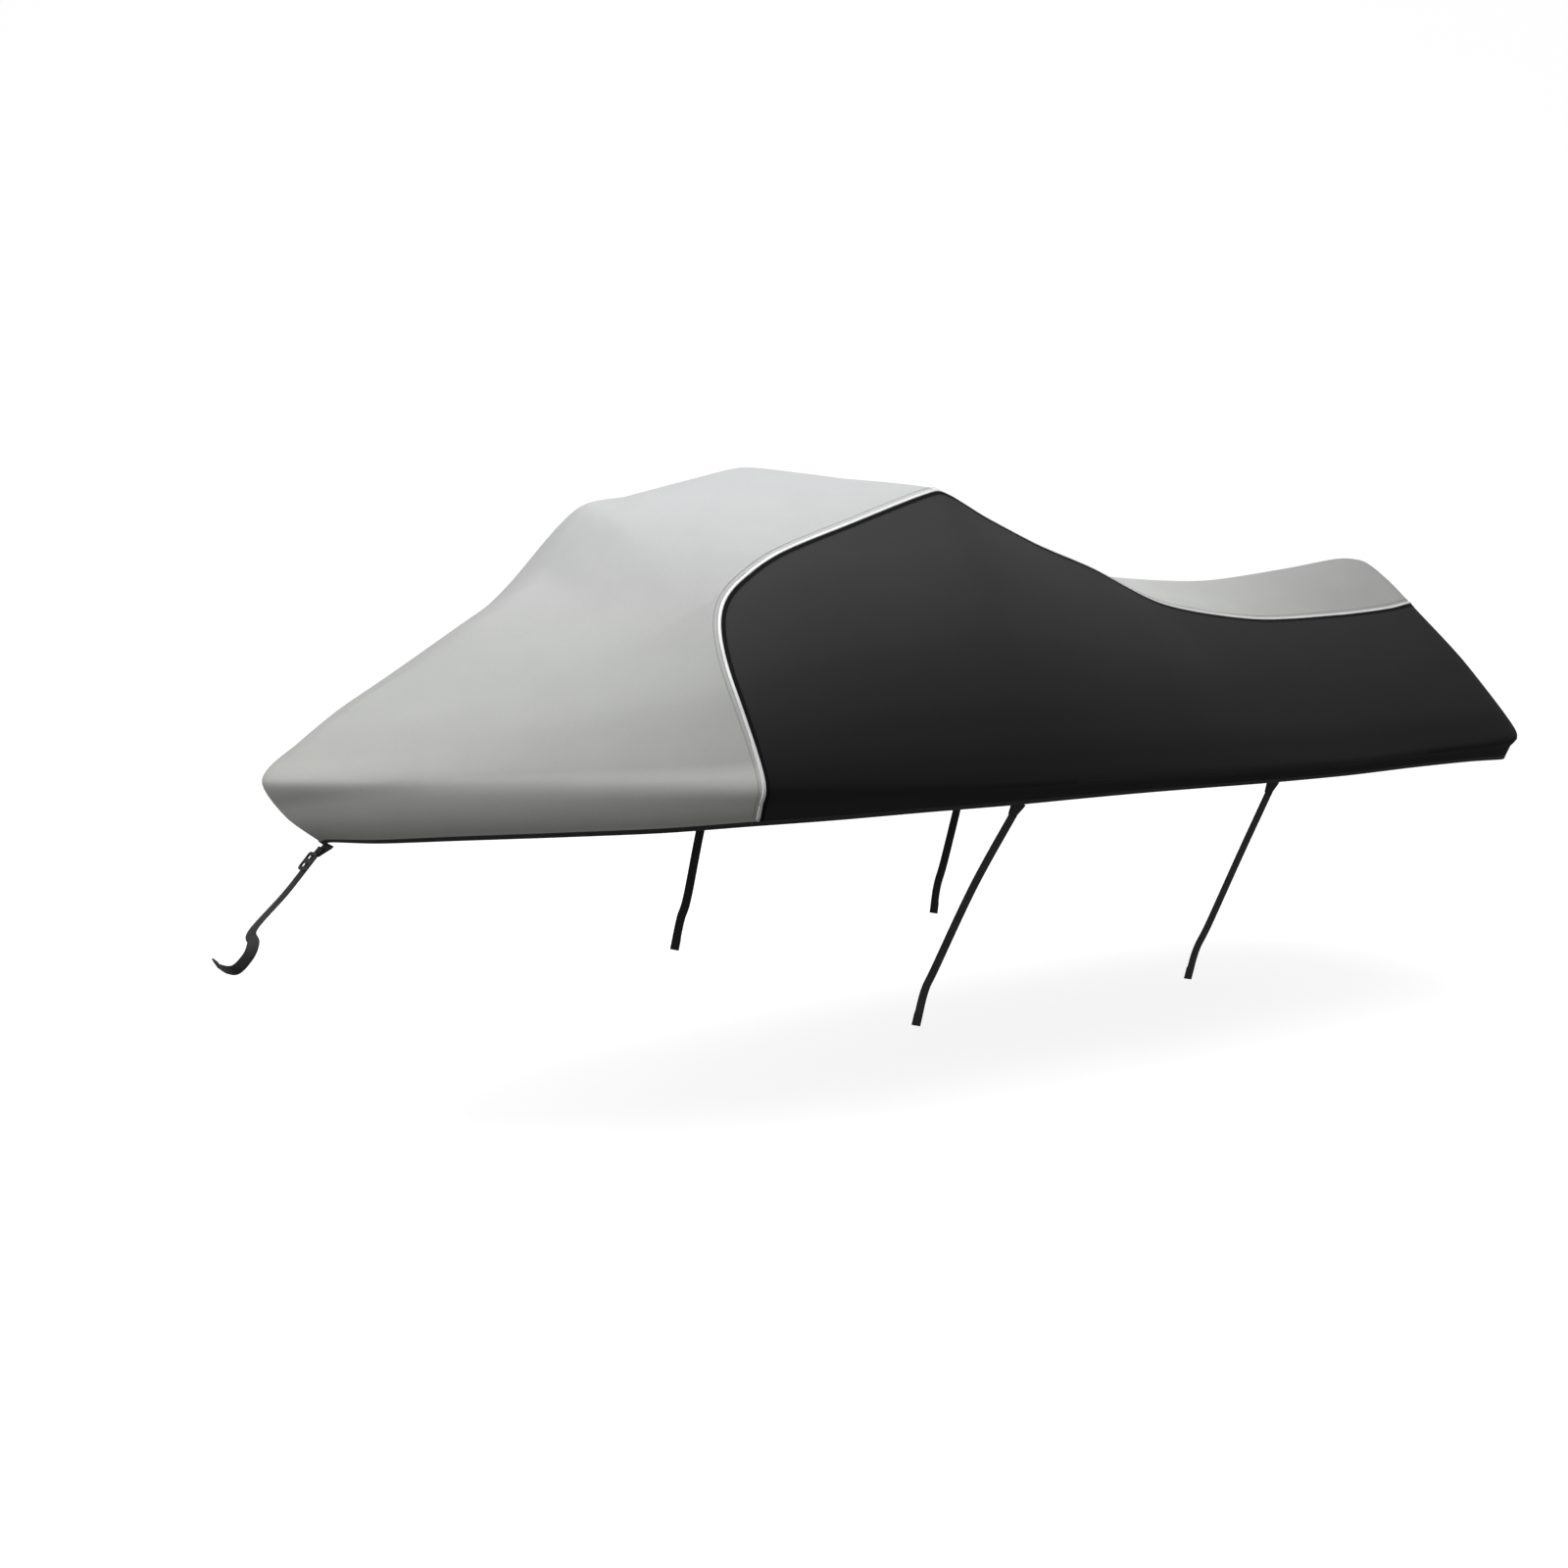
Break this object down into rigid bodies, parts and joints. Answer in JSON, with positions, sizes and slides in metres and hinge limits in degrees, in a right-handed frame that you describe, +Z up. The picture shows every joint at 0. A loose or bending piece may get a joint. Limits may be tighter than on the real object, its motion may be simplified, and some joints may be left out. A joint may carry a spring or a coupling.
{
  "type": "personal watercraft cover",
  "caption": "Fitted two-tone polyester cover for a three-seat personal watercraft, held taut by webbing straps, with the watercraft left out.",
  "frame": {"origin": "underside of the cloth at its highest point, on the centreline over the steering pod", "axes": "+Y from bow to stern along the centreline, +X to port, +Z up"},
  "size_m": [1.2286, 3.5122, 1.2305],
  "materials": {
    "grey_cloth": "matte coated polyester, oxford weave",
    "black_cloth": "matte coated polyester, oxford weave",
    "piping": "smooth reflective piping",
    "webbing": "black polyester webbing and binding tape",
    "buckle_plastic": "black moulded plastic"
  },
  "bodies": {
    "root": {"hood_panel": "grey_cloth", "handlebar_panel": "grey_cloth", "seat_panel": "grey_cloth", "side_panel_port": "black_cloth", "side_panel_starboard": "black_cloth", "piping_port": "piping", "piping_starboard": "piping", "hem_binding": "webbing", "bow_seam_tape": "webbing", "bow_strap_tab": "webbing", "bow_strap": "webbing", "bow_strap_buckle": "buckle_plastic", "front_strap_tab_port": "webbing", "front_strap_port": "webbing", "front_strap_tab_starboard": "webbing", "front_strap_starboard": "webbing", "rear_strap_tab_port": "webbing", "rear_strap_port": "webbing", "rear_strap_tab_starboard": "webbing", "rear_strap_starboard": "webbing"}
  },
  "joints": []
}
